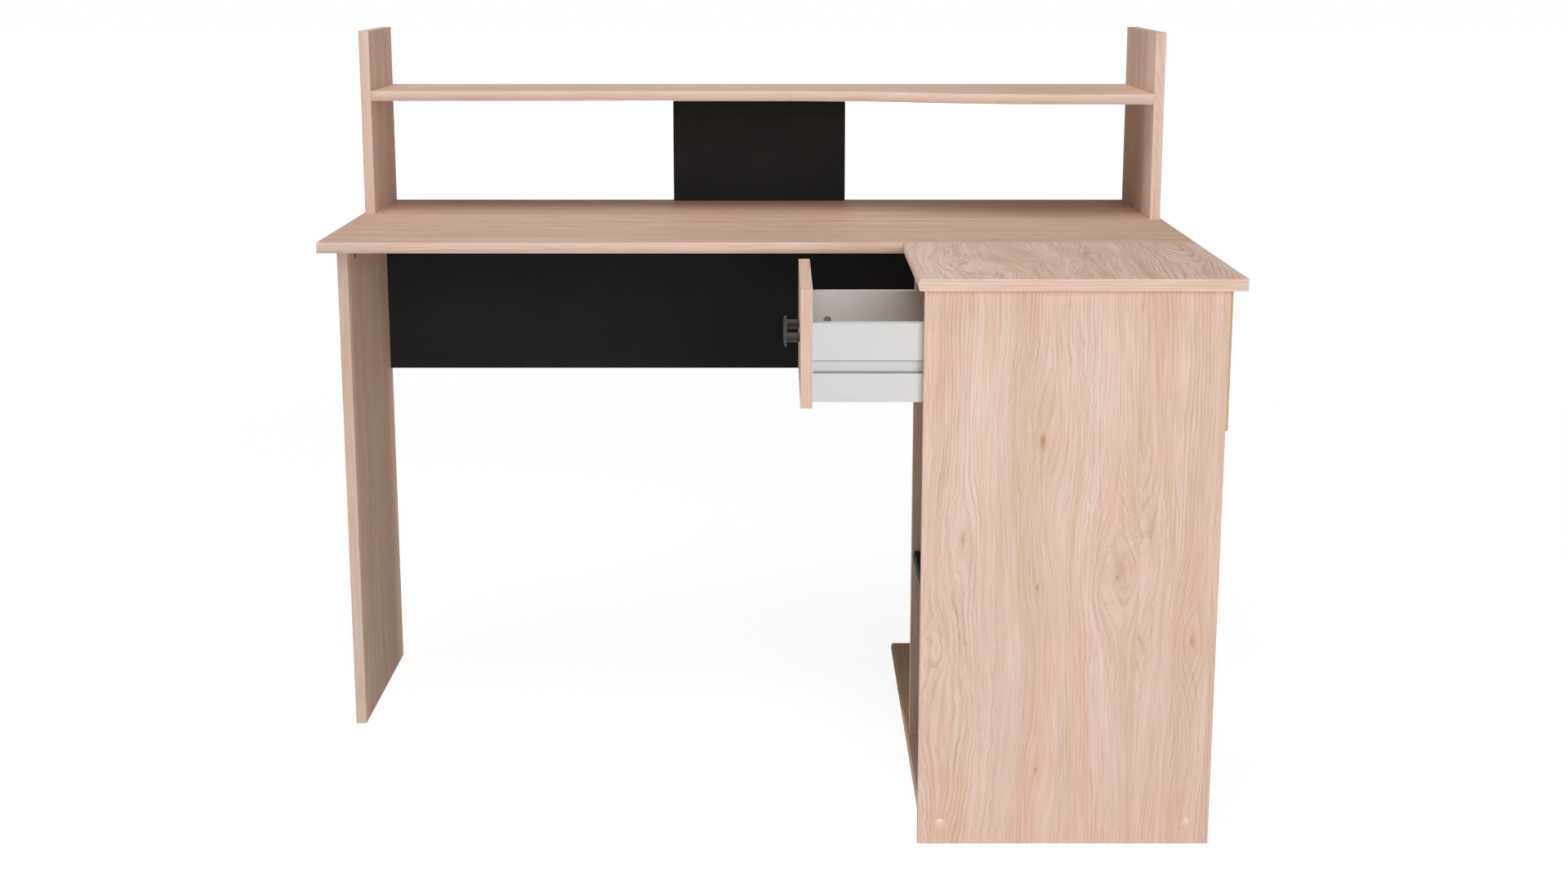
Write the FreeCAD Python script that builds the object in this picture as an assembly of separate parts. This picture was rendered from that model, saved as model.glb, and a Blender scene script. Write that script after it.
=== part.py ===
"""Student desk with a hutch: an L-shaped worktop on two leg panels and a drawer pedestal.

Lengths are millimetres. +Z is up and the sitter is on the -Y side. The origin is on the floor, under the
middle of the desk's width and depth. The drawer stands part open at rest.
"""

import FreeCAD
import Part

import math
import os

# Whole desk: the main top runs along the wall, and the return top comes forward on the right
board = 15.0
desk_width = 1204.0
main_depth = 496.0
return_width = 399.0
return_depth = 318.0
panel_height = 724.0
nose = 2.2  # swell of a softly rounded edge past its board

# Leg panels and the modesty panel between them
leg_depth = 300.0
leg_inset = 3.0  # from the ends of the main top
leg_back_gap = 87.0  # from the back of the main top
modesty_height = 241.0

# Pedestal under the return
return_overhang = 14.0
pedestal_width = 374.0
inner_panel_setback = 7.0
inner_panel_to_seam = 13.0
shelf_setback = 11.0
shelf_play = 0.5
shelf_clear_height = 260.0
base_gap = 18.5  # floor to the bottom board
base_setback = 5.0
base_back_gap = 38.0  # from the backs of the leg panels
back_thickness = 3.0
back_height = 178.0

# Hutch on the main top
hutch_height = 275.0
hutch_left_depth = 178.0
hutch_right_depth = 249.0
hutch_clear_height = 170.0
hutch_panel_width = 274.0
hutch_shelf_left_setback = 6.0  # from the front of the hutch side
hutch_shelf_right_setback = 3.0
wave_start = 15.0  # where the shelf starts to widen, from the middle of the desk
wave_length = 435.0

# Drawer
drawer_open = 159.0  # how far it stands out at rest
drawer_front_height = 150.0
drawer_top_gap = 3.0
drawer_end_gap = 2.5
drawer_side = 12.0
drawer_side_height = 100.0
drawer_side_lift = 8.0
drawer_back_gap = 12.0  # behind the closed drawer
drawer_side_inset = 1.0  # from the ends of the drawer front
drawer_bottom = 3.0
drawer_bottom_lift = 8.0
drawer_bottom_groove = 5.0

# Runners in the grooves of the drawer sides
groove_height = 17.0
groove_depth = 7.0
groove_lift = 36.0
runner_top_gap = 0.3
runner_bottom_gap = 0.7
runner_side_play = 1.0
runner_end_gap = 1.0
runner_screw_end_distance = 40.0

# Handle: a convex plate on two posts
handle_length = 138.0
handle_height = 17.5
handle_crown = 4.5
handle_rim = 2.2
handle_corner = 4.0
handle_standoff = 16.5
handle_hole_spacing = 96.0
handle_post_radius = 6.0

# Fixings
fit_clearance = 0.2
fixing_floor = 5.0  # wood left behind a blind hole
cam_floor = 3.0
cam_radius = 7.3
cam_backset = 24.0
cam_end_distance = 54.0  # from the end of a panel to its cam
drawer_cam_radius = 5.3
drawer_cam_recess = 1.2
drawer_cam_rise = 7.0  # above the runner groove
bolt_thread_radius = 3.0
bolt_rod_radius = 2.5
bolt_neck_radius = 1.4
bolt_neck_length = 4.0
bolt_head_radius = 2.6
bolt_head_length = 2.5
dowel_radius = 4.0
dowel_length = 30.0
dowel_chamfer = 0.8
drawer_dowel_radius = 3.0
drawer_dowel_length = 24.0
drawer_fixing_edge_distance = 20.0
base_screw_length = 50.0
base_screw_radius = 3.0
base_screw_head = 5.0
base_screw_socket = 2.0
base_screw_socket_depth = 4.0
base_screw_end_distance = 28.0
leg_screw_end_distance = 54.0
cap_radius = 8.5
cap_height = 2.4
cap_stem_gap = 1.0
cap_rings = 8  # a dome in rings of one sphere stays true where it is meshed coarsely
hutch_screw_length = 45.0
hutch_screw_end_distance = 30.0
wood_screw_radius = 1.75
wood_screw_head = 3.4
drawer_back_screw_length = 35.0
drawer_bottom_screw_length = 14.0
screw_tip_radius = 0.4
cross_span = 4.0
cross_slot = 0.9
cross_depth = 1.4
handle_screw_radius = 2.0
handle_screw_grip = 9.0  # thread inside the handle's post
handle_screw_head = 3.8
handle_screw_head_height = 2.2
pin_radius = 2.5
pin_reach = 9.0
pin_end_distance = 40.0
nail_radius = 0.8
nail_length = 20.0
nail_head = 2.0
nail_head_height = 0.6
nail_edge_distance = 15.0
foot_radius = 15.0
foot_chamfer = 2.0
foot_edge_distance = 26.0
foot_screw_recess = 8.0
foot_bore_radius = 4.5

# Places worked out from the sizes above
half_width = desk_width / 2
desk_depth = main_depth + return_depth
front_y = -desk_depth / 2
back_y = desk_depth / 2
seam_y = front_y + return_depth
top_z = panel_height + board
return_left = half_width - return_width

leg_outer = half_width - leg_inset
leg_inner = leg_outer - board
leg_back_y = back_y - leg_back_gap
leg_front_y = leg_back_y - leg_depth
leg_middle_y = (leg_front_y + leg_back_y) / 2

pedestal_left = leg_inner - pedestal_width
pedestal_front_y = front_y + return_overhang
bay_near_y = pedestal_front_y + board
bay_far_y = seam_y - inner_panel_to_seam - board
inner_panel_left = pedestal_left + inner_panel_setback
base_top = base_gap + board
base_end = leg_back_y - base_back_gap
shelf_z = base_top + shelf_clear_height

hutch_top = top_z + hutch_height
hutch_shelf_z = top_z + hutch_clear_height
hutch_shelf_left_depth = hutch_left_depth - hutch_shelf_left_setback
hutch_shelf_right_depth = hutch_right_depth - hutch_shelf_right_setback

drawer_x = inner_panel_left - drawer_open
drawer_inner_x = drawer_x + board
drawer_side_length = pedestal_width - inner_panel_setback - board - drawer_back_gap
drawer_near_y = bay_near_y + drawer_end_gap
drawer_far_y = bay_far_y - drawer_end_gap
drawer_middle_y = (drawer_near_y + drawer_far_y) / 2
drawer_front_z = panel_height - drawer_top_gap - drawer_front_height
drawer_side_z = drawer_front_z + drawer_side_lift
drawer_side_top = drawer_side_z + drawer_side_height
drawer_end_x = drawer_inner_x + drawer_side_length
box_near_y = drawer_near_y + drawer_side_inset
box_far_y = drawer_far_y - drawer_side_inset
drawer_bottom_z = drawer_side_z + drawer_bottom_lift
drawer_bottom_top = drawer_bottom_z + drawer_bottom
groove_z = drawer_side_z + groove_lift
groove_top = groove_z + groove_height

blind_depth = board - fixing_floor
cam_depth = board - cam_floor
drawer_cam_depth = drawer_side - drawer_cam_recess - cam_floor

Vec = FreeCAD.Vector
X = Vec(1, 0, 0)
Y = Vec(0, 1, 0)
Z = Vec(0, 0, 1)

boards = {}  # name to shape; every fixing bores its own hole in these
fixings = {}  # name to a list of separate solids


def slab(x0, x1, y0, y1, z0, z1):
    """A square-edged board between two planes on each axis."""
    return Part.makeBox(x1 - x0, y1 - y0, z1 - z0, Vec(x0, y0, z0))


def segment(a, b, outward):
    """The wire of a rounded edge's section: a chord from a to b, and an arc that swells outward."""
    crown = (a + b) * 0.5 + outward * nose
    return Part.Wire([Part.makeLine(a, b), Part.Arc(b, crown, a).toShape()])


def with_nose(shape, a, b, outward, run):
    """A board with a rounded strip along one edge, from the chord a to b and on by run."""
    return shape.fuse(Part.Face(segment(a, b, outward)).extrude(run)).removeSplitter()


def placed(shape, at, direction):
    """A shape made along +Z, turned to a direction and moved to a point."""
    shape.Placement = FreeCAD.Placement(at, FreeCAD.Rotation(Z, direction))
    return shape


def turned(profile, at, direction, grow=0.0):
    """A round piece from (distance, radius) steps along a direction, larger all round by grow."""
    steps = [Vec(radius + grow, 0, distance) for distance, radius in profile]
    steps[0].z -= grow
    steps[-1].z += grow
    rim = [Vec(0, 0, steps[0].z), *steps, Vec(0, 0, steps[-1].z)]
    face = Part.Face(Part.makePolygon([*rim, rim[0]]))
    return placed(face.revolve(Vec(), Z, 360), at, direction)


def driver_cross(at, direction):
    """The cross recess that a screwdriver turns, from a flat head inwards."""
    arms = [
        Part.makeBox(length, width, cross_depth, Vec(-length / 2, -width / 2, 0))
        for length, width in ((cross_span, cross_slot), (cross_slot, cross_span))
    ]
    return placed(arms[0].fuse(arms[1]), at, direction)


def bore(profile, at, direction, *names):
    """Bores a turned shape, with clearance, out of the named boards."""
    hole = turned(profile, at, direction, fit_clearance)
    for name in names:
        boards[name] = boards[name].cut(hole)


def add_fixing(group, piece):
    fixings.setdefault(group, []).append(piece)


def fit(group, profile, at, direction, *names):
    """Adds a turned fixing to its group and bores it into the boards that it goes through."""
    bore(profile, at, direction, *names)
    add_fixing(group, turned(profile, at, direction))


def wood_screw(length):
    """A countersunk screw's steps, from its head to its tip."""
    cone = wood_screw_head - wood_screw_radius
    return [
        (0, wood_screw_head),
        (cone, wood_screw_radius),
        (length - 2 * wood_screw_radius, wood_screw_radius),
        (length, screw_tip_radius),
    ]


def fit_screw(group, length, at, direction, *names):
    """Adds a countersunk screw with a cross recess, its head flush at a point."""
    steps = wood_screw(length)
    bore(steps, at, direction, *names)
    add_fixing(group, turned(steps, at, direction).cut(driver_cross(at, direction)))


def dowel(radius, length):
    """A wooden dowel's steps, with chamfered ends."""
    return [
        (0, radius - dowel_chamfer),
        (dowel_chamfer, radius),
        (length - dowel_chamfer, radius),
        (length, radius - dowel_chamfer),
    ]


def fit_dowel(group, at, direction, *names):
    """Adds a dowel across a joint: one end is blind behind the point, and the rest is ahead of it."""
    start = at - direction * blind_depth
    fit(group, dowel(dowel_radius, dowel_length), start, direction, *names)


def cam_bolt():
    """A cam bolt's steps: its thread behind the joint, then the rod, neck and head that the cam grips."""
    head_start = cam_backset - bolt_head_length / 2
    neck_start = head_start - bolt_neck_length
    return [
        (-blind_depth, bolt_thread_radius),
        (0, bolt_thread_radius),
        (0, bolt_rod_radius),
        (neck_start, bolt_rod_radius),
        (neck_start, bolt_neck_radius),
        (head_start, bolt_neck_radius),
        (head_start, bolt_head_radius),
        (head_start + bolt_head_length, bolt_head_radius),
    ]


def cam_lock(place, seat, into, mouth, inward, size, bolt_board, cam_board):
    """A bolt screwed into one board at seat, gripped by a cam let into the mouth in the other's face."""
    radius, depth, recess = size
    bolt = cam_bolt()
    fit(place + "_cam_bolts", bolt, seat, into, bolt_board, cam_board)
    bore([(0, radius), (recess + depth, radius)], mouth, inward, cam_board)
    lock = turned([(recess, radius), (recess + depth, radius)], mouth, inward)
    lock = lock.cut(turned(bolt, seat, into, fit_clearance))
    lock = lock.cut(driver_cross(mouth + inward * recess, inward))
    add_fixing(place + "_cam_locks", lock)


def cam_joint(place, seat, into, face, bolt_board, cam_board):
    """A cam lock between two full-thickness boards, its cam in the face of the second."""
    mouth = seat + into * cam_backset + face * (board / 2)
    cam_lock(place, seat, into, mouth, face * -1, (cam_radius, cam_depth, 0), bolt_board, cam_board)


def make_tops():
    """The main top with its rounded front edge, and the return top with its rounded left edge."""
    main = slab(-half_width, half_width, seam_y, back_y, panel_height, top_z)
    low = Vec(-half_width, seam_y, panel_height)
    run = X * (half_width + return_left - nose - fit_clearance)
    boards["desktop_main"] = with_nose(main, low, low + Z * board, Y * -1, run)
    extra = slab(return_left, half_width, front_y, seam_y, panel_height, top_z)
    low = Vec(return_left, front_y, panel_height)
    boards["desktop_return"] = with_nose(extra, low, low + Z * board, X * -1, Y * return_depth)


def make_legs():
    """Two leg panels and the modesty panel, which is flush with their back edges."""
    for name, x in (("left_leg_panel", -leg_outer), ("right_leg_panel", leg_inner)):
        boards[name] = slab(x, x + board, leg_front_y, leg_back_y, 0, panel_height)
    low = panel_height - modesty_height
    boards["modesty_panel"] = slab(-leg_inner, leg_inner, leg_back_y - board, leg_back_y, low, panel_height)


def make_pedestal():
    """Front and inner panels on a long bottom board, with a shelf and a thin back behind the drawer."""
    right = leg_inner
    boards["pedestal_front_panel"] = slab(
        pedestal_left, right, pedestal_front_y, bay_near_y, 0, panel_height
    )
    boards["pedestal_inner_panel"] = slab(
        inner_panel_left, right, bay_far_y, bay_far_y + board, base_top, panel_height
    )
    left = pedestal_left + base_setback
    base = slab(left, right, bay_near_y, base_end, base_gap, base_top)
    low = Vec(left, bay_near_y, base_gap)
    run = Y * (base_end - bay_near_y)
    boards["bottom_board"] = with_nose(base, low, low + Z * board, X * -1, run)
    left = pedestal_left + shelf_setback
    near = bay_near_y + shelf_play
    far = bay_far_y - shelf_play
    shelf = slab(left, right, near, far, shelf_z, shelf_z + board)
    low = Vec(left, near, shelf_z)
    boards["pedestal_shelf"] = with_nose(shelf, low, low + Z * board, X * -1, Y * (far - near))
    boards["pedestal_back"] = slab(
        right, right + back_thickness,
        pedestal_front_y, bay_far_y + board,
        panel_height - back_height, panel_height,
    )


def make_hutch_shelf():
    """The hutch shelf: a wave in its front edge widens it towards the right, and the edge is rounded."""
    left_y = back_y - hutch_shelf_left_depth
    right_y = back_y - hutch_shelf_right_depth
    drop = left_y - right_y
    radius = (wave_length**2 + drop**2) / (4 * drop)
    start = Vec(wave_start, left_y, hutch_shelf_z)
    end = Vec(wave_start + wave_length, right_y, hutch_shelf_z)
    turn = (start + end) * 0.5
    # The first arc's middle lies on the bisector from its centre, in front of the wave's start
    centre = start - Y * radius
    spoke = (start - centre) + (turn - centre)
    first = centre + spoke.normalize() * radius
    second = turn * 2 - first
    left_end = Vec(-leg_inner, left_y, hutch_shelf_z)
    right_end = Vec(leg_inner, right_y, hutch_shelf_z)
    front = [
        Part.makeLine(left_end, start),
        Part.Arc(start, first, turn).toShape(),
        Part.Arc(turn, second, end).toShape(),
        Part.makeLine(end, right_end),
    ]
    right_back = Vec(leg_inner, back_y, hutch_shelf_z)
    left_back = Vec(-leg_inner, back_y, hutch_shelf_z)
    rest = Part.makePolygon([right_end, right_back, left_back, left_end]).Edges
    plate = Part.Face(Part.Wire(front + rest)).extrude(Z * board)
    edge = segment(left_end, left_end + Z * board, Y * -1)
    strip = Part.Wire(front).makePipeShell([edge], True, False)
    boards["hutch_shelf"] = plate.fuse(strip).removeSplitter()


def make_hutch():
    """Two sides with rounded front edges, the shelf between them and the centre panel under it."""
    sides = (
        ("hutch_left_side", -leg_outer, hutch_left_depth),
        ("hutch_right_side", leg_inner, hutch_right_depth),
    )
    for name, x, depth in sides:
        side = slab(x, x + board, back_y - depth, back_y, top_z, hutch_top)
        low = Vec(x, back_y - depth, top_z)
        boards[name] = with_nose(side, low, low + X * board, Y * -1, Z * hutch_height)
    make_hutch_shelf()
    half = hutch_panel_width / 2
    boards["hutch_back_panel"] = slab(-half, half, back_y - board, back_y, top_z, hutch_shelf_z)


def make_drawer():
    """The drawer's front, grooved sides, back and bottom, at its rest opening."""
    front = slab(
        drawer_x, drawer_inner_x,
        drawer_near_y, drawer_far_y,
        drawer_front_z, drawer_front_z + drawer_front_height,
    )
    bottom_slot = slab(
        drawer_inner_x - drawer_bottom_groove - fit_clearance, drawer_end_x,
        box_near_y + drawer_side - drawer_bottom_groove - fit_clearance,
        box_far_y - drawer_side + drawer_bottom_groove + fit_clearance,
        drawer_bottom_z - fit_clearance, drawer_bottom_top + fit_clearance,
    )
    boards["drawer_front"] = front.cut(bottom_slot)
    sides = (
        ("drawer_near_side", box_near_y, box_near_y),
        ("drawer_far_side", box_far_y - drawer_side, box_far_y - groove_depth),
    )
    for name, y, groove_y in sides:
        side = slab(drawer_inner_x, drawer_end_x, y, y + drawer_side, drawer_side_z, drawer_side_top)
        groove = slab(
            drawer_inner_x, drawer_end_x, groove_y, groove_y + groove_depth, groove_z, groove_top
        )
        boards[name] = side.cut(groove).cut(bottom_slot)
    near = box_near_y + drawer_side
    far = box_far_y - drawer_side
    boards["drawer_back"] = slab(
        drawer_end_x - drawer_side, drawer_end_x, near, far, drawer_bottom_top, drawer_side_top
    )
    boards["drawer_bottom"] = slab(
        drawer_inner_x - drawer_bottom_groove, drawer_end_x,
        near - drawer_bottom_groove, far + drawer_bottom_groove,
        drawer_bottom_z, drawer_bottom_top,
    )


def make_runners():
    """A strip on each side of the bay, which the drawer's grooves ride on."""
    start = inner_panel_left + board + runner_end_gap
    end = start + drawer_side_length
    thick = drawer_end_gap + drawer_side_inset + groove_depth - runner_side_play
    low = groove_z + runner_bottom_gap
    high = groove_top - runner_top_gap
    near = bay_near_y + thick
    far = bay_far_y - thick
    boards["drawer_runner_near"] = slab(start, end, bay_near_y, near, low, high)
    boards["drawer_runner_far"] = slab(start, end, far, bay_far_y, low, high)
    first = start + runner_screw_end_distance
    last = end - runner_screw_end_distance
    length = thick + blind_depth
    for x in (first, (first + last) / 2, last):
        at = Vec(x, near, (low + high) / 2)
        fit_screw("runner_screws", length, at, Y * -1, "drawer_runner_near", "pedestal_front_panel")
        at = Vec(x, far, (low + high) / 2)
        fit_screw("runner_screws", length, at, Y, "drawer_runner_far", "pedestal_inner_panel")


def make_handle():
    """A convex plate with rounded corners on two round posts, held by screws through the drawer front."""
    z = drawer_front_z + drawer_front_height / 2
    inner_x = drawer_x - handle_standoff
    near = drawer_middle_y - handle_length / 2
    low = Vec(inner_x, near, z - handle_height / 2)
    high = Vec(inner_x, near, z + handle_height / 2)
    rim_high = high - X * handle_rim
    rim_low = low - X * handle_rim
    crown = Vec(inner_x - handle_crown, near, z)
    outline = Part.makePolygon([rim_low, low, high, rim_high]).Edges
    outline.append(Part.Arc(rim_high, crown, rim_low).toShape())
    plate = Part.Face(Part.Wire(outline)).extrude(Y * handle_length)
    blank = Part.makeBox(
        handle_crown, handle_length, handle_height, Vec(inner_x - handle_crown, near, low.z)
    )
    corners = [edge for edge in blank.Edges if abs(edge.tangentAt(edge.FirstParameter).x) > 0.9]
    handle = plate.common(blank.makeFillet(handle_corner, corners))
    for side in (-1, 1):
        foot = Vec(drawer_x, drawer_middle_y + side * handle_hole_spacing / 2, z)
        post = [(0, handle_post_radius), (handle_standoff + handle_rim / 2, handle_post_radius)]
        handle = handle.fuse(turned(post, foot, X * -1))
    boards["drawer_handle"] = handle.removeSplitter()
    screw = [
        (-handle_screw_head_height, handle_screw_head),
        (0, handle_screw_head),
        (0, handle_screw_radius),
        (board + handle_screw_grip, handle_screw_radius),
    ]
    for side in (-1, 1):
        at = Vec(drawer_inner_x, drawer_middle_y + side * handle_hole_spacing / 2, z)
        bore(screw, at, X * -1, "drawer_front", "drawer_handle")
        head = at + X * handle_screw_head_height
        piece = turned(screw, at, X * -1).cut(driver_cross(head, X * -1))
        add_fixing("handle_screws", piece)


def join_drawer():
    """Cams, dowels and screws that hold the drawer box together."""
    half = drawer_side / 2
    back_x = drawer_end_x - half
    sides = (
        ("drawer_near_side", box_near_y, Y),
        ("drawer_far_side", box_far_y, Y * -1),
    )
    for name, outer_y, inward in sides:
        middle = outer_y + inward.y * half
        seat = Vec(drawer_inner_x, middle, groove_top + drawer_cam_rise)
        mouth = seat + X * cam_backset + inward * half
        size = (drawer_cam_radius, drawer_cam_depth, drawer_cam_recess)
        cam_lock("drawer", seat, X, mouth, inward * -1, size, "drawer_front", name)
        for z in ((drawer_bottom_top + groove_z) / 2, drawer_side_top - drawer_fixing_edge_distance):
            start = Vec(drawer_inner_x - blind_depth, middle, z)
            pin = dowel(drawer_dowel_radius, drawer_dowel_length)
            fit("drawer_dowels", pin, start, X, "drawer_front", name)
            head = Vec(back_x, outer_y, z)
            fit_screw("drawer_back_screws", drawer_back_screw_length, head, inward, name, "drawer_back")
    quarter = (box_far_y - box_near_y) / 4
    for y in (drawer_middle_y - quarter, drawer_middle_y + quarter):
        head = Vec(back_x, y, drawer_bottom_z)
        fit_screw("drawer_bottom_screws", drawer_bottom_screw_length, head, Z, "drawer_bottom", "drawer_back")


def join_tops():
    """Cams and dowels between the tops and the panels under them, and across the seam of the two tops."""
    half = board / 2
    cam_near = leg_front_y + cam_end_distance
    cam_far = leg_back_y - cam_end_distance
    for name, side in (("left_leg_panel", -1), ("right_leg_panel", 1)):
        x = side * (leg_outer - half)
        for y in (cam_near, cam_far):
            seat = Vec(x, y, panel_height)
            cam_joint("top", seat, Z * -1, X * -side, "desktop_main", name)
        fit_dowel("top_dowels", Vec(x, leg_middle_y, panel_height), Z * -1, "desktop_main", name)
    panels = (
        ("pedestal_front_panel", pedestal_left, pedestal_front_y + half),
        ("pedestal_inner_panel", inner_panel_left, bay_far_y + half),
    )
    for name, left, y in panels:
        for x in (left + cam_end_distance, leg_inner - cam_end_distance):
            seat = Vec(x, y, panel_height)
            cam_joint("top", seat, Z * -1, Y, "desktop_return", name)
        middle = Vec((left + leg_inner) / 2, y, panel_height)
        fit_dowel("top_dowels", middle, Z * -1, "desktop_return", name)
    z = panel_height + half
    for share in (1, 3, 5):
        seat = Vec(return_left + return_width * share / 6, seam_y, z)
        cam_joint("seam", seat, Y, Z * -1, "desktop_return", "desktop_main")
    for share in (2, 4):
        start = Vec(return_left + return_width * share / 6, seam_y - dowel_length / 2, z)
        fit("seam_dowels", dowel(dowel_radius, dowel_length), start, Y, "desktop_return", "desktop_main")


def join_modesty():
    """Cams in the hidden back of the modesty panel, with a dowel between them at each end."""
    half = board / 2
    y = leg_back_y - half
    middle_z = panel_height - modesty_height / 2
    for name, side in (("left_leg_panel", -1), ("right_leg_panel", 1)):
        inward = X * -side
        for z in (panel_height - cam_end_distance, panel_height - modesty_height + cam_end_distance):
            seat = Vec(side * leg_inner, y, z)
            cam_joint("modesty", seat, inward, Y, name, "modesty_panel")
        middle = Vec(side * leg_inner, y, middle_z)
        fit_dowel("modesty_dowels", middle, inward, name, "modesty_panel")


def fit_base_screw(at, direction, *names):
    """Adds a thick screw with a round socket in its head, flush at a point."""
    cone = base_screw_head - base_screw_radius
    steps = [
        (0, base_screw_head),
        (cone, base_screw_radius),
        (base_screw_length - 2 * base_screw_radius, base_screw_radius),
        (base_screw_length, screw_tip_radius),
    ]
    bore(steps, at, direction, *names)
    socket = turned([(0, base_screw_socket), (base_screw_socket_depth, base_screw_socket)], at, direction)
    add_fixing("base_screws", turned(steps, at, direction).cut(socket))


def dome_outline():
    """Half the cover cap's dome, from its rim to its crown, as short arcs of one circle."""
    ball = (cap_radius**2 + cap_height**2) / (2 * cap_height)
    ring = math.asin(cap_radius / ball) / cap_rings

    def on_ball(rings):
        return Vec(ball * math.sin(ring * rings), 0, cap_height - ball + ball * math.cos(ring * rings))

    return [
        Part.Arc(on_ball(outer), on_ball(outer - 0.5), on_ball(outer - 1)).toShape()
        for outer in range(cap_rings, 0, -1)
    ]


def fit_cap(at, outward):
    """Adds a domed cover cap on a panel's face, its stem in the socket of the screw under it."""
    stem_radius = base_screw_socket - fit_clearance
    stem_end = cap_stem_gap - base_screw_socket_depth
    stem = Part.makePolygon([
        Vec(0, 0, cap_height),
        Vec(0, 0, stem_end),
        Vec(stem_radius, 0, stem_end),
        Vec(stem_radius, 0, 0),
        Vec(cap_radius, 0, 0),
    ])
    outline = Part.Wire(stem.Edges + dome_outline())
    add_fixing("screw_cover_caps", placed(Part.Face(outline).revolve(Vec(), Z, 360), at, outward))


def join_base():
    """Capped screws through the front panel and right leg, screws up into the inner panel, and feet."""
    z = base_gap + board / 2
    for x in (pedestal_left + base_screw_end_distance, leg_inner - base_screw_end_distance):
        at = Vec(x, pedestal_front_y, z)
        fit_base_screw(at, Y, "pedestal_front_panel", "bottom_board")
        fit_cap(at, Y * -1)
    for y in (leg_front_y + leg_screw_end_distance, base_end - leg_screw_end_distance):
        at = Vec(leg_outer, y, z)
        fit_base_screw(at, X * -1, "right_leg_panel", "bottom_board")
        fit_cap(at, X)
    panel_y = bay_far_y + board / 2
    panel_middle = (inner_panel_left + leg_inner) / 2
    for x in (panel_middle - pedestal_width / 4, panel_middle + pedestal_width / 4):
        fit_base_screw(Vec(x, panel_y, base_gap), Z, "bottom_board", "pedestal_inner_panel")
    left_x = pedestal_left + base_setback + foot_edge_distance
    feet = (
        (left_x, panel_y),
        (leg_inner - foot_edge_distance, panel_y),
        (left_x, base_end - foot_edge_distance),
    )
    foot_steps = [(0, foot_radius - foot_chamfer), (foot_chamfer, foot_radius), (base_gap, foot_radius)]
    recess_steps = [(0, foot_bore_radius), (foot_screw_recess, foot_bore_radius)]
    length = base_gap - foot_screw_recess + blind_depth
    for x, y in feet:
        floor = Vec(x, y, 0)
        at = Vec(x, y, foot_screw_recess)
        foot = turned(foot_steps, floor, Z).cut(turned(recess_steps, floor, Z))
        foot = foot.cut(turned(wood_screw(length), at, Z, fit_clearance))
        add_fixing("base_feet", foot)
        fit_screw("foot_screws", length, at, Z, "bottom_board")


def join_pedestal():
    """Pins that carry the shelf, and nails that hold the thin back."""
    pin = [(-blind_depth, pin_radius), (pin_reach, pin_radius)]
    z = shelf_z - pin_radius - fit_clearance
    shelf_left = pedestal_left + shelf_setback
    for x in (shelf_left + pin_end_distance, leg_inner - pin_end_distance):
        fit("shelf_pins", pin, Vec(x, bay_near_y, z), Y, "pedestal_front_panel")
        fit("shelf_pins", pin, Vec(x, bay_far_y, z), Y * -1, "pedestal_inner_panel")
    nail = [
        (-nail_head_height, nail_head),
        (0, nail_head),
        (0, nail_radius),
        (nail_length - nail_head, nail_radius),
        (nail_length, screw_tip_radius),
    ]
    low = panel_height - back_height + nail_edge_distance
    high = panel_height - nail_edge_distance
    for panel, y in (("pedestal_front_panel", pedestal_front_y), ("pedestal_inner_panel", bay_far_y)):
        for z in (low, (low + high) / 2, high):
            at = Vec(leg_inner + back_thickness, y + board / 2, z)
            fit("back_nails", nail, at, X * -1, "pedestal_back", panel)


def join_hutch():
    """Screws up through the main top, dowels, and cams under the shelf."""
    half = board / 2
    front_fix = leg_back_y - cam_end_distance / 2
    rear_fix = back_y - hutch_screw_end_distance
    shelf_mid = hutch_shelf_z + half
    sides = (
        ("hutch_left_side", -1, hutch_shelf_left_depth),
        ("hutch_right_side", 1, hutch_shelf_right_depth),
    )
    for name, side, depth in sides:
        x = side * (leg_outer - half)
        for y in (front_fix, rear_fix):
            at = Vec(x, y, panel_height)
            fit_screw("hutch_screws", hutch_screw_length, at, Z, "desktop_main", name)
        middle = Vec(x, (front_fix + rear_fix) / 2, top_z)
        fit_dowel("hutch_dowels", middle, Z, "desktop_main", name)
        for y in (back_y - cam_end_distance, back_y - depth + cam_end_distance):
            seat = Vec(side * leg_inner, y, shelf_mid)
            cam_joint("shelf", seat, X * -side, Z * -1, name, "hutch_shelf")
    for side in (-1, 1):
        x = side * (hutch_panel_width / 2 - hutch_screw_end_distance)
        at = Vec(x, back_y - half, panel_height)
        fit_screw("hutch_screws", hutch_screw_length, at, Z, "desktop_main", "hutch_back_panel")
        at = Vec(x, back_y - half, hutch_shelf_z)
        fit_dowel("hutch_dowels", at, Z * -1, "hutch_shelf", "hutch_back_panel")


def main():
    make_tops()
    make_legs()
    make_pedestal()
    make_hutch()
    make_drawer()
    make_runners()
    make_handle()
    join_tops()
    join_modesty()
    join_base()
    join_pedestal()
    join_hutch()
    join_drawer()
    os.makedirs("parts", exist_ok=True)
    for name, shape in boards.items():
        shape.exportStep(f"parts/{name}.step")
    for name, pieces in fixings.items():
        Part.makeCompound(pieces).exportStep(f"parts/{name}.step")


main()
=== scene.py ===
"""Finishes, light and camera for the student desk with a hutch. Lengths are metres and colours are linear.

Every visible piece is a CAD node, so nothing is added to the object's shape. Each node gets a procedural
material, and a white floor and surround, soft lamps and the photograph's camera make up the studio.
"""

import math
from collections import namedtuple

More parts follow.
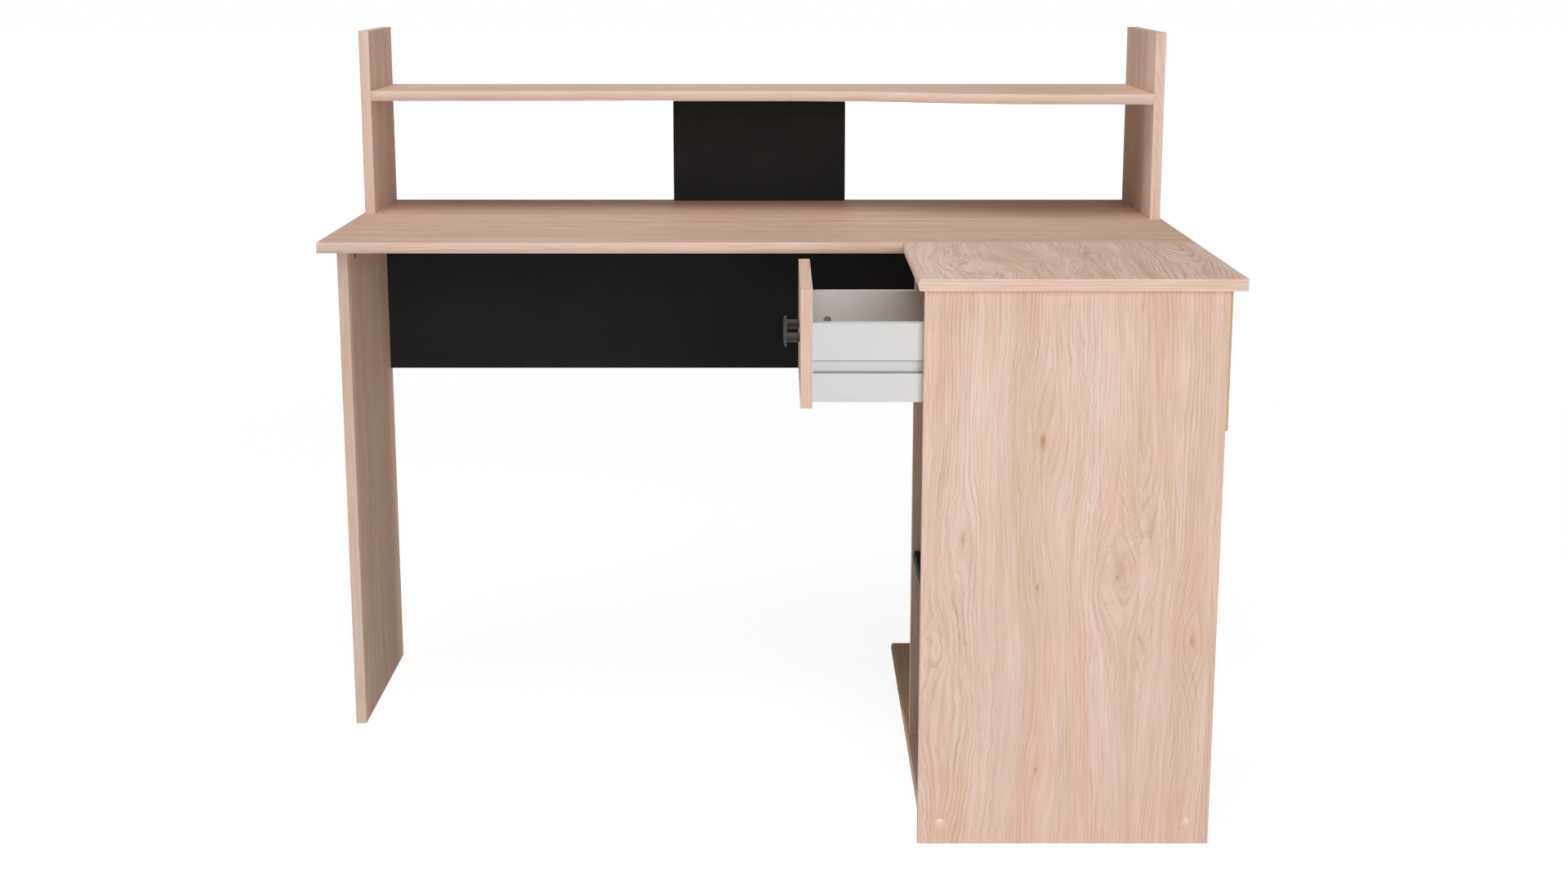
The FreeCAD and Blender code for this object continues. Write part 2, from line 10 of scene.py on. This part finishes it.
import bpy
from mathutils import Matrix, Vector


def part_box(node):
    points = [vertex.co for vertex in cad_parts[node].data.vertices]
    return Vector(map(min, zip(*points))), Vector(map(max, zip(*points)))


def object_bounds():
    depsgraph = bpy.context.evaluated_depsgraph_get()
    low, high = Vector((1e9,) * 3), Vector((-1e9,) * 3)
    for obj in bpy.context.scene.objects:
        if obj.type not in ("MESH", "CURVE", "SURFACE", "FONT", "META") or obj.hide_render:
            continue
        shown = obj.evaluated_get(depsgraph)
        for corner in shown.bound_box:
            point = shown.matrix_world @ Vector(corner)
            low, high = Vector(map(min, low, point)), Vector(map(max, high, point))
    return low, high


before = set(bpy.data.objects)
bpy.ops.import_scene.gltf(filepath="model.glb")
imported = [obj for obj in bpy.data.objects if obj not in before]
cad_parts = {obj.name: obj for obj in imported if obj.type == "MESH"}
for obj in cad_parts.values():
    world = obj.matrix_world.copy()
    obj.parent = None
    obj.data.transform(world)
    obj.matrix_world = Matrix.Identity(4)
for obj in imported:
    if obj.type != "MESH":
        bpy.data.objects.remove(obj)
cad_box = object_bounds()

AXES = "XYZ"
WHITE = (1.0, 1.0, 1.0)

# Oak decor: printed staves of plain-sawn oak
OAK_PALE = (0.945, 0.757, 0.672)
OAK_SAND = (0.820, 0.632, 0.526)
OAK_LINE = (0.610, 0.378, 0.258)
OAK_PINK = (0.875, 0.575, 0.490)
OAK_STRAW = (0.835, 0.605, 0.430)
OAK_HALO = (0.720, 0.460, 0.300)
OAK_KNOT = (0.500, 0.275, 0.165)
OAK_ROUGHNESS = 0.76
OAK_SPECULAR = 0.03
PORE_BUMP = 0.00005

# Staves: each next one is cut further along the log, and its rings are counted from further on
STAVE_WIDTH = 0.091
STAVE_STEP = 3.7
RING_STEP = 71.0

# Rings: their spacing, and where in a ring its line starts and is darkest
RING_SPACING = 0.0043
LINE_START = 0.40
LINE_PEAK = 0.86

# The log's heart: its range across the grain from a stave's edge, and how far below the face it may lie
HEART_PLACE = (-0.16, 0.25)
HEART_DEPTH = 0.09

# A board's edges, beside its faces: the share of warmth and lines that they keep, and their waviness
EDGE_SHARE = 0.6
EDGE_SWAY = 0.25
FACING_LIMIT = 0.7  # a surface faces along an axis where its normal has more than this on it

# A wave of the grain: its noise, in cells per metre along and across the grain and per board, and its reach
Wave = namedtuple("Wave", "scale reach")
LONG_WAVE = Wave((2.5, 8.0, 1.3), 0.040)
SHORT_WAVE = Wave((10.0, 24.0, 1.3), 0.010)
RIPPLE = Wave((60.0, 140.0, 1.3), 0.003)
RIPPLE_RANGE = (0.12, 2.2)  # how much of the ripple straight and curly patches have

# A layer of noise: its scale as a wave's, detail and roughness, and the values that count as none and full
Layer = namedtuple("Layer", "scale detail rough none full")
CURL = Layer((4.0, 22.0, 1.3), 1.0, 0.5, 0.46, 0.70)
HEART_DRIFT = Layer((1.6, 1.0, 1.3), 1.0, 0.5, 0.25, 0.75)
BOLDNESS = Layer((4.0, 30.0, 1.3), 2.0, 0.5, 0.30, 0.68)
FIBRE = Layer((14.0, 420.0, 1.3), 4.0, 0.7, 0.35, 0.70)
PORE = Layer((60.0, 1500.0, 1.3), 1.0, 0.5, 0.58, 0.70)
STREAK = Layer((2.6, 160.0, 1.3), 3.0, 0.6, 0.34, 0.68)
BLUSH = Layer((4.0, 26.0, 4.7), 2.0, 0.5, 0.40, 0.66)
STRAW = Layer((5.0, 45.0, 9.1), 3.0, 0.6, 0.46, 0.70)
BAND = Layer((1.2, 34.0, 5.3), 2.0, 0.5, 0.36, 0.64)

# What a knot does to the figure, its ragged outline's noise, and how much longer it is along the grain
KNOT_EFFECTS = ("Push", "Swirl", "Halo", "Knot")
KNOT_RAGGED = (70.0, 170.0, 1.0)
KNOT_STRETCH = 2.5

# A knot's place on its board, its radius across the grain, the rings around it and its darkness
Knot = namedtuple("Knot", "along across size rings dark")
FRONT_KNOTS = (
    Knot(0.533, 0.359, 0.027, 2.0, 0.85),
    Knot(0.407, 0.262, 0.022, 0.0, 0.60),
    Knot(0.369, 0.460, 0.034, 9.0, 0.35),
    Knot(0.357, 0.456, 0.016, 0.0, 0.60),
    Knot(0.345, 0.356, 0.015, 0.0, 0.75),
    Knot(0.101, 0.360, 0.016, 0.0, 0.85),
    Knot(0.273, 0.553, 0.022, 5.0, 0.60),
    Knot(0.472, 0.329, 0.008, 0.0, 0.45),
    Knot(0.273, 0.224, 0.010, 0.0, 0.35),
    Knot(0.200, 0.235, 0.040, 2.0, 0.0),
)
RETURN_KNOTS = (
    Knot(-0.193, 0.440, 0.018, 2.0, 0.55),
    Knot(-0.300, 0.290, 0.050, -6.0, 0.0),
    Knot(-0.180, 0.380, 0.050, 6.0, 0.0),
)

# A board's node, its axes along and across the grain, its waviness, warmth, strength of lines, and knots
Board = namedtuple("Board", "node grain across sway warm figure knots", defaults=((),))
BOARDS = (
    Board("desktop_main", "X", "Y", 0.5, 1.00, 2.0),
    Board("desktop_return", "Y", "X", 1.5, 0.0, 1.50, RETURN_KNOTS),
    Board("left_leg_panel", "Z", "Y", 0.8, 0.50, 1.0),
    Board("right_leg_panel", "Z", "Y", 0.8, 0.50, 1.0),
    Board("pedestal_front_panel", "Z", "X", 1.0, 0.45, 1.1, FRONT_KNOTS),
    Board("pedestal_inner_panel", "Z", "X", 1.0, 0.60, 1.0),
    Board("bottom_board", "Y", "X", 1.0, 1.00, 1.7),
    Board("hutch_left_side", "Z", "Y", 0.8, 0.40, 0.9),
    Board("hutch_right_side", "Z", "Y", 0.8, 0.20, 0.9),
    Board("hutch_shelf", "X", "Y", 0.5, 0.75, 1.0),
    Board("drawer_front", "Z", "Y", 1.0, 1.00, 1.8),
)

# Plain finishes
BLACK_FOIL = (0.0230, 0.0234, 0.0232)
WHITE_FOIL = (0.70, 0.70, 0.70)
HARDBOARD = (0.57, 0.37, 0.21)
CAP_TONE = (0.82, 0.55, 0.42)
HANDLE_GREY = (0.050, 0.051, 0.050)
ZINC = (0.60, 0.61, 0.62)
CAM_GREY = (0.24, 0.24, 0.25)
BEECH = (0.60, 0.38, 0.19)
RUNNER_GREY = (0.42, 0.42, 0.42)
FOOT_BLACK = (0.012, 0.012, 0.012)

# Grain of the plain finishes, in cells per metre along each axis; long cells look brushed
SMOOTH = (300.0, 300.0, 300.0)
FELTED = (500.0, 500.0, 500.0)
FINE = (900.0, 900.0, 900.0)
BRUSHED = (60.0, 900.0, 900.0)
PLATED = (700.0, 700.0, 120.0)
BEECH_GRAIN = (900.0, 900.0, 90.0)
CLOUDS = (9.0, 9.0, 9.0)
GLOSS_RANGE = 0.06
# Painted shade: the share of its colour that a finish keeps deepest in its narrow corners
PAINTED_SHADE_SHARE = 0.3

# Floor: its size, how far it lies below the feet, and its tone as a source of light and where it is seen
FLOOR_REACH = 30.0
FLOOR_DROP = 0.0005
FLOOR_LIT_TONE = 0.9
FLOOR_SEEN_TONE = 0.3
FLOOR_ROUGHNESS = 0.9

# The floor's own white where it is seen: distance from the desk's middle and strength, near and far
GLOW_NEAR = (1.0, 0.90)
GLOW_FAR = (5.0, 1.0)

# Light: each soft lamp's place, width and power, and the surround's strength
LAMPS = {
    "front": ((0.6, -3.2, 1.1), 1.6, 38.0),
    "high": ((0.8, -4.0, 2.4), 2.0, 37.0),
    "overhead": ((-0.4, -0.5, 3.0), 2.0, 39.0),
    "back": ((0.0, 14.0, 0.9), 3.0, 480.0),
    "left": ((-14.0, 0.4, 0.5), 1.2, 400.0),
    "right": ((14.0, 0.3, 0.5), 1.2, 750.0),
}
WORLD_LIGHT = 0.02

# Camera
CAMERA_PLACE = (0.031, -2.808, 1.122)
CAMERA_DIP = math.radians(11.0)
CAMERA_LENS = 46.0
CAMERA_SHIFT = (0.0034, -0.06)


class Graph:
    """Adds shader nodes to a tree. An input is given by its name or number, as a socket or a value."""

    def __init__(self, tree):
        self.tree = tree

    def feed(self, node, inputs):
        for key, value in inputs.items():
            if isinstance(value, bpy.types.NodeSocket):
                self.tree.links.new(value, node.inputs[key])
            else:
                node.inputs[key].default_value = value

    def add(self, kind, inputs=None, **settings):
        node = self.tree.nodes.new("ShaderNode" + kind)
        for name, value in settings.items():
            setattr(node, name, value)
        self.feed(node, inputs or {})
        return node

    def math(self, operation, *values):
        return self.add("Math", dict(enumerate(values)), operation=operation).outputs[0]

    def weigh(self, *shares, start=0.0):
        """Adds up values, each times its weight."""
        total = start
        for value, weight in shares:
            total = self.math("MULTIPLY_ADD", value, weight, total)
        return total

    def vector(self, operation, *values):
        return self.add("VectorMath", dict(enumerate(values)), operation=operation).outputs[0]

    def length(self, vector):
        return self.add("VectorMath", {0: vector}, operation="LENGTH").outputs["Value"]

    def combine(self, x, y, z):
        return self.add("CombineXYZ", {0: x, 1: y, 2: z}).outputs[0]

    def separate(self, vector):
        return self.add("SeparateXYZ", {0: vector}).outputs

    def noise(self, vector, scale, detail=2.0, rough=0.5):
        """Noise from 0 to 1, its scale different on each axis."""
        stretched = self.vector("MULTIPLY", vector, scale)
        inputs = {"Vector": stretched, "Scale": 1.0, "Detail": detail, "Roughness": rough}
        return self.add("TexNoise", inputs).outputs["Fac"]

    def spread(self, value, low, high, to_low=0.0, to_high=1.0):
        """Maps a value from one range to another, smoothly and within it."""
        inputs = {0: value, 1: low, 2: high, 3: to_low, 4: to_high}
        return self.add("MapRange", inputs, interpolation_type="SMOOTHSTEP").outputs[0]

    def layer(self, vector, layer, none=0.0, full=1.0):
        """A layer of noise, from where it counts as none to where it is full."""
        value = self.noise(vector, layer.scale, layer.detail, layer.rough)
        return self.spread(value, layer.none, layer.full, none, full)

    def blend(self, factor, a, b):
        """Mixes two colours."""
        inputs = {0: factor, 6: a, 7: b}
        return self.add("Mix", inputs, data_type="RGBA").outputs[2]


def rgba(colour):
    return (*colour, 1.0)


def scaled(colour, factor):
    return tuple(min(1.0, channel * factor) for channel in colour)


def make_group(name, inputs, outputs):
    """A node group with named sockets; returns its graph, its input sockets and its output node."""
    tree = bpy.data.node_groups.new(name, "ShaderNodeTree")
    for way, sockets in (("INPUT", inputs), ("OUTPUT", outputs)):
        for label, kind in sockets.items():
            tree.interface.new_socket(label, in_out=way, socket_type="NodeSocket" + kind)
    entry = tree.nodes.new("NodeGroupInput")
    return Graph(tree), entry.outputs, tree.nodes.new("NodeGroupOutput")


# A stave: its number, a place across it and along the log, the board's seed, that place as noise takes it,
# and chances from 0 to 1 for the heart's side, the heart's depth and the tone
Stave = namedtuple("Stave", "index local along seed place lean deep tone")


def cut_staves(graph, place):
    """Cuts a board into staves, each from another place in the log and with its own tone."""
    along, across, seed = graph.separate(place)
    count = graph.math("DIVIDE", across, STAVE_WIDTH)
    index = graph.math("FLOOR", count)
    chance = graph.add("TexWhiteNoise", {"Vector": graph.combine(index, seed, 0.0)}, noise_dimensions="2D")
    lean, deep, tone = graph.separate(chance.outputs["Color"])
    along = graph.math("MULTIPLY_ADD", index, STAVE_STEP, along)
    local = graph.math("MULTIPLY", graph.math("FRACT", count), STAVE_WIDTH)
    return Stave(index, local, along, seed, graph.combine(along, across, seed), lean, deep, tone)


def bend_grain(graph, given, stave):
    """How far a place lies from the heart across the grain, which knots push aside and waves sway."""
    heart = graph.spread(stave.lean, 0.0, 1.0, *HEART_PLACE)
    side = graph.math("ADD", graph.math("SUBTRACT", stave.local, heart), given["Push"])
    curl = graph.layer(stave.place, CURL, *RIPPLE_RANGE)
    for wave, amount in ((LONG_WAVE, 1.0), (SHORT_WAVE, 1.0), (RIPPLE, curl)):
        swing = graph.math("SUBTRACT", graph.noise(stave.place, wave.scale, 1.0), 0.5)
        reach = graph.math("MULTIPLY", given["Sway"], wave.reach)
        side = graph.math("MULTIPLY_ADD", graph.math("MULTIPLY", swing, amount), reach, side)
    return side


def draw_rings(graph, given, stave, side):
    """Rings around a heart beside and below the board, which give straight lines, waves and arches.

    Each ring ends in a thin line, bolder or fainter from ring to ring and from place to place.
    """
    depth = graph.math("MULTIPLY", graph.layer(stave.place, HEART_DRIFT, 0.0, HEART_DEPTH), stave.deep)
    ring = graph.math("DIVIDE", graph.length(graph.combine(side, depth, 0.0)), RING_SPACING)
    phase = graph.math("ADD", ring, given["Swirl"])
    saw = graph.math("FRACT", phase)
    rise = graph.spread(saw, LINE_START, LINE_PEAK)
    line = graph.math("SUBTRACT", rise, graph.spread(saw, LINE_PEAK, 1.0))
    number = graph.math("MULTIPLY_ADD", stave.index, RING_STEP, graph.math("FLOOR", phase))
    chance = graph.add("TexWhiteNoise", {"W": number}, noise_dimensions="1D").outputs["Value"]
    line = graph.math("MULTIPLY", line, graph.weigh((chance, 0.6), start=0.4))
    return graph.math("MULTIPLY", line, graph.layer(stave.place, BOLDNESS, 0.2, 1.0))


def make_oak_group():
    """Oak figure from a place on a board: along the grain, across it, and the board's seed."""
    floats = dict.fromkeys(("Sway", "Warm", "Figure", *KNOT_EFFECTS), "Float")
    graph, given, out = make_group(
        "oak_figure",
        {"Place": "Vector", **floats},
        {"Color": "Color", "Height": "Float", "Roughness": "Float"},
    )
    stave = cut_staves(graph, given["Place"])
    side = bend_grain(graph, given, stave)
    line = draw_rings(graph, given, stave, side)

    # Fibres, pores and bands follow the rings, and so do pink streaks and patches of straw
    strand = graph.combine(stave.along, side, stave.seed)
    fibre = graph.layer(strand, FIBRE)
    pore = graph.math("MULTIPLY", graph.layer(strand, PORE), graph.weigh((line, 0.7), start=0.3))
    band = graph.layer(strand, BAND)
    pink = graph.math("MULTIPLY", graph.layer(strand, STREAK), graph.layer(strand, BLUSH, 0.2, 1.0))
    straw = graph.weigh((graph.layer(strand, STRAW), 0.55), (band, 0.28))

    # Tints come first, then the drawn lines, and knots lie over all
    drawn = graph.weigh((fibre, 0.33), (line, 0.43), (pore, 0.26), (band, 0.12))
    shade = graph.math("MULTIPLY_ADD", drawn, given["Figure"], graph.math("MULTIPLY", stave.tone, 0.10))
    halo = graph.math("MULTIPLY", given["Halo"], 0.6)
    colour = graph.blend(given["Warm"], rgba(OAK_PALE), rgba(OAK_SAND))
    for factor, tint in (
        (pink, OAK_PINK),
        (straw, OAK_STRAW),
        (shade, OAK_LINE),
        (halo, OAK_HALO),
        (given["Knot"], OAK_KNOT),
    ):
        colour = graph.blend(factor, colour, rgba(tint))
    height = graph.weigh((line, -0.15), (pore, -0.8))
    rough = graph.weigh((pore, 0.10), (line, 0.06), start=OAK_ROUGHNESS)
    graph.feed(out, {"Color": colour, "Height": height, "Roughness": rough})
    return graph.tree


def make_knot_group():
    """One knot: grain pushed aside, closed rings, a stained halo and a dark ragged core."""
    graph, given, out = make_group(
        "oak_knot",
        {"Place": "Vector", "Centre": "Vector", "Size": "Float", "Rings": "Float", "Dark": "Float"},
        dict.fromkeys(KNOT_EFFECTS, "Float"),
    )
    ragged = graph.math("SUBTRACT", graph.noise(given["Place"], KNOT_RAGGED, 3.0, 0.6), 0.5)
    offset = graph.vector("SUBTRACT", given["Place"], given["Centre"])
    offset = graph.vector("MULTIPLY", offset, (1.0 / KNOT_STRETCH, 1.0, 0.0))
    far = graph.math("DIVIDE", graph.length(offset), given["Size"])

    def fade(reach, rough):
        """1 at the centre, falling off over a share of the knot's size."""
        reached = graph.math("DIVIDE", graph.math("MULTIPLY_ADD", ragged, rough, far), reach)
        square = graph.math("MULTIPLY", reached, reached)
        return graph.math("EXPONENT", graph.math("MULTIPLY", square, -0.5))

    wide = fade(1.0, 0.3)
    across = graph.separate(offset)[1]
    effects = {
        "Push": graph.math("MULTIPLY", graph.math("MULTIPLY", across, wide), -0.9),
        "Swirl": graph.math("MULTIPLY", wide, given["Rings"]),
        "Halo": graph.math("MULTIPLY", fade(0.22, 0.7), given["Dark"]),
        "Knot": graph.math("MULTIPLY", fade(0.085, 0.32), given["Dark"]),
    }
    graph.feed(out, effects)
    return graph.tree


def start_material(name, colour, specular, metallic=0.0):
    """A material with a principled shader; returns it, its graph and the shader."""
    material = bpy.data.materials.new(name)
    material.use_nodes = True
    material.diffuse_color = rgba(colour)
    graph = Graph(material.node_tree)
    shader = material.node_tree.nodes["Principled BSDF"]
    graph.feed(shader, {"Specular IOR Level": specular, "Metallic": metallic})
    return material, graph, shader


def connect(graph, shader, colour, rough, height, bump):
    """Links colour, roughness and a bump, its depth in metres, to a shader."""
    normal = graph.add("Bump", {"Height": height, "Distance": bump, "Strength": 1.0}).outputs[0]
    graph.feed(shader, {"Base Color": colour, "Roughness": rough, "Normal": normal})


def gather_knots(graph, place, seed, knots):
    """Adds up what each knot does to the figure."""
    totals = dict.fromkeys(KNOT_EFFECTS, 0.0)
    for knot in knots:
        inputs = {
            "Place": place,
            "Centre": (knot.along, knot.across, seed),
            "Size": knot.size,
            "Rings": knot.rings,
            "Dark": knot.dark,
        }
        made = graph.add("Group", inputs, node_tree=KNOT_GROUP)
        for name in KNOT_EFFECTS:
            totals[name] = graph.math("ADD", made.outputs[name], totals[name])
    return totals


def make_oak(board, seed):
    """Oak decor for one board. Ends across the grain carry an edge strip with the grain along them.

    A place on a face adds its level on the flat axis, so that lines run on over the board's long edges.
    """
    material, graph, shader = start_material("oak_" + board.node, OAK_PALE, OAK_SPECULAR)
    flat = (set(AXES) - {board.grain, board.across}).pop()
    coords = graph.add("TexCoord").outputs
    here = dict(zip(AXES, graph.separate(coords["Object"])))
    facing = dict(zip(AXES, graph.separate(coords["Normal"])))

    def faces(axis):
        """1 where the surface faces along an axis, either way, and 0 elsewhere."""
        return graph.math("GREATER_THAN", graph.math("ABSOLUTE", facing[axis]), FACING_LIMIT)

    is_face = faces(flat)
    on_face = graph.combine(here[board.grain], graph.math("ADD", here[board.across], here[flat]), seed)
    on_end = graph.combine(here[board.across], here[flat], seed + 0.5)
    ends = {0: faces(board.grain), 4: on_face, 5: on_end}
    place = graph.add("Mix", ends, data_type="VECTOR").outputs[1]
    share = graph.weigh((is_face, 1.0 - EDGE_SHARE), start=EDGE_SHARE)
    inputs = {
        "Place": place,
        "Sway": graph.weigh((is_face, board.sway - EDGE_SWAY), start=EDGE_SWAY),
        "Warm": graph.math("MULTIPLY", share, board.warm),
        "Figure": graph.math("MULTIPLY", share, board.figure),
        **gather_knots(graph, place, seed, board.knots),
    }
    oak = graph.add("Group", inputs, node_tree=OAK_GROUP).outputs
    connect(graph, shader, oak["Color"], oak["Roughness"], oak["Height"], PORE_BUMP)
    return material


def make_finish(
    name, colour, rough, scale, mottle=0.12, bump=0.00005, metallic=0.0, specular=0.5, painted_shade_reach=0.0
):
    """A plain finish with a mottled tone, uneven gloss and a fine bump, at a scale for each axis.

    Where a corner's walls lie closer than the given reach in metres, painted shade darkens the colour,
    taken from ambient occlusion.
    """
    material, graph, shader = start_material(name, colour, specular, metallic)
    place = graph.add("TexCoord").outputs["Object"]
    cloud = graph.noise(place, CLOUDS, 3.0)
    fine = graph.noise(place, scale, 3.0, 0.6)
    tone = graph.spread(graph.weigh((fine, 0.5), (cloud, 0.5)), 0.3, 0.7)
    shade = graph.blend(tone, rgba(scaled(colour, 1.0 - mottle)), rgba(scaled(colour, 1.0 + mottle)))
    # Painted shade: ambient occlusion darkens the colour in narrow corners and grooves
    if painted_shade_reach:
        corner_shade = graph.add("AmbientOcclusion", {"Distance": painted_shade_reach}, only_local=True).outputs["AO"]
        shade = graph.blend(graph.spread(corner_shade, 0.4, 0.95), rgba(scaled(colour, PAINTED_SHADE_SHARE)), shade)
    gloss = graph.spread(fine, 0.2, 0.8, rough - GLOSS_RANGE, rough + GLOSS_RANGE)
    connect(graph, shader, shade, gloss, fine, bump)
    return material


def dress(material, *nodes):
    """Gives a material to CAD nodes."""
    for name in nodes:
        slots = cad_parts[name].data.materials
        slots.clear()
        slots.append(material)


def dress_boards():
    """Oak on each board, with its grain the way the board is cut, and knots at the level of their face."""
    levels = {
        "pedestal_front_panel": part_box("pedestal_front_panel")[0].y,
        "desktop_return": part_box("desktop_return")[1].z,
    }
    for seed, board in enumerate(BOARDS):
        knots = [knot._replace(across=knot.across + levels[board.node]) for knot in board.knots]
        dress(make_oak(board._replace(knots=knots), float(seed)), board.node)


def dress_others():
    """Foils, hardboard, handle, plastics and metal fixings."""
    black = make_finish("black_foil", BLACK_FOIL, 0.6, BRUSHED, bump=0.00004, specular=0.03)
    dress(black, "modesty_panel", "pedestal_shelf", "hutch_back_panel")
    # The white foil carries painted shade in its grooves and corners
    white = make_finish(
        "white_foil", WHITE_FOIL, 0.45, SMOOTH, mottle=0.02, bump=0.00003, specular=0.2, painted_shade_reach=0.0055
    )
    dress(white, "drawer_near_side", "drawer_far_side", "drawer_back")
    dress(make_finish("fibre_board", HARDBOARD, 0.6, FELTED), "pedestal_back", "drawer_bottom")
    dress(make_finish("cap_plastic", CAP_TONE, 0.42, SMOOTH, mottle=0.03, specular=0.9), "screw_cover_caps")
    dress(make_finish("handle_coat", HANDLE_GREY, 0.5, FINE, specular=0.3), "drawer_handle")
    runner = make_finish("runner_plastic", RUNNER_GREY, 0.45, SMOOTH, mottle=0.05)
    dress(runner, "drawer_runner_near", "drawer_runner_far")
    dress(make_finish("foot_plastic", FOOT_BLACK, 0.5, SMOOTH), "base_feet")
    zinc = make_finish("zinc_plate", ZINC, 0.32, PLATED, metallic=1.0)
    cams = make_finish("cast_zinc", CAM_GREY, 0.5, FINE, metallic=0.8)
    beech = make_finish("beech", BEECH, 0.55, BEECH_GRAIN)
    fixings = {"bolts": zinc, "screws": zinc, "nails": zinc, "pins": zinc, "locks": cams, "dowels": beech}
    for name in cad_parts:
        kind = name.rpartition("_")[2]
        if kind in fixings:
            dress(fixings[kind], name)


def seen_directly(graph):
    """1 for a ray from the camera, or one mirrored or passed on to it, and 0 for light."""
    path = graph.add("LightPath").outputs
    mirrored = graph.math("MAXIMUM", path["Is Glossy Ray"], path["Is Transmission Ray"])
    return graph.math("MAXIMUM", path["Is Camera Ray"], mirrored)


def make_world():
    """A soft white surround: dim as light, and white where it is seen."""
    world = bpy.data.worlds.new("studio")
    bpy.context.scene.world = world
    world.use_nodes = True
    graph = Graph(world.node_tree)
    strength = graph.spread(seen_directly(graph), 0.0, 1.0, WORLD_LIGHT, 1.0)
    graph.feed(world.node_tree.nodes["Background"], {"Color": rgba(WHITE), "Strength": strength})


def make_floor():
    """A pale floor that shows white and keeps a soft shadow of the desk."""
    mesh = bpy.data.meshes.new("floor")
    low, high = -FLOOR_REACH, FLOOR_REACH
    corners = [(low, low, 0.0), (high, low, 0.0), (high, high, 0.0), (low, high, 0.0)]
    mesh.from_pydata(corners, [], [(0, 1, 2, 3)])
    floor = bpy.data.objects.new("floor", mesh)
    floor.location.z = -FLOOR_DROP
    bpy.context.scene.collection.objects.link(floor)
    material, graph, shader = start_material("pale_floor", WHITE, specular=0.0)
    seen = seen_directly(graph)
    tone = graph.spread(seen, 0.0, 1.0, FLOOR_LIT_TONE, FLOOR_SEEN_TONE)
    away = graph.length(graph.add("TexCoord").outputs["Object"])
    glow = graph.spread(away, GLOW_NEAR[0], GLOW_FAR[0], GLOW_NEAR[1], GLOW_FAR[1])
    finish = {
        "Base Color": graph.combine(tone, tone, tone),
        "Roughness": FLOOR_ROUGHNESS,
        "Emission Color": rgba(WHITE),
        "Emission Strength": graph.math("MULTIPLY", seen, glow),
    }
    graph.feed(shader, finish)
    mesh.materials.append(material)


def make_lamps():
    """Large soft lamps that face the middle of the desk."""
    low, high = (Vector(corner) for corner in cad_box)
    for name, (place, width, power) in LAMPS.items():
        data = bpy.data.lights.new(name, "AREA")
        data.size = width
        data.energy = power
        lamp = bpy.data.objects.new(name, data)
        lamp.location = place
        lamp.visible_camera = False
        lamp.rotation_euler = ((low + high) / 2 - lamp.location).to_track_quat("-Z", "Y").to_euler()
        bpy.context.scene.collection.objects.link(lamp)


def make_camera():
    """The photograph's view: in front of the desk, above its worktop."""
    data = bpy.data.cameras.new("camera")
    data.lens = CAMERA_LENS
    data.shift_x, data.shift_y = CAMERA_SHIFT
    camera = bpy.data.objects.new("camera", data)
    camera.location = CAMERA_PLACE
    camera.rotation_euler = (math.pi / 2 - CAMERA_DIP, 0.0, 0.0)
    bpy.context.scene.collection.objects.link(camera)
    bpy.context.scene.camera = camera


OAK_GROUP = make_oak_group()
KNOT_GROUP = make_knot_group()
dress_boards()
dress_others()
make_world()
make_floor()
make_lamps()
make_camera()
bpy.context.scene.view_settings.view_transform = "Standard"
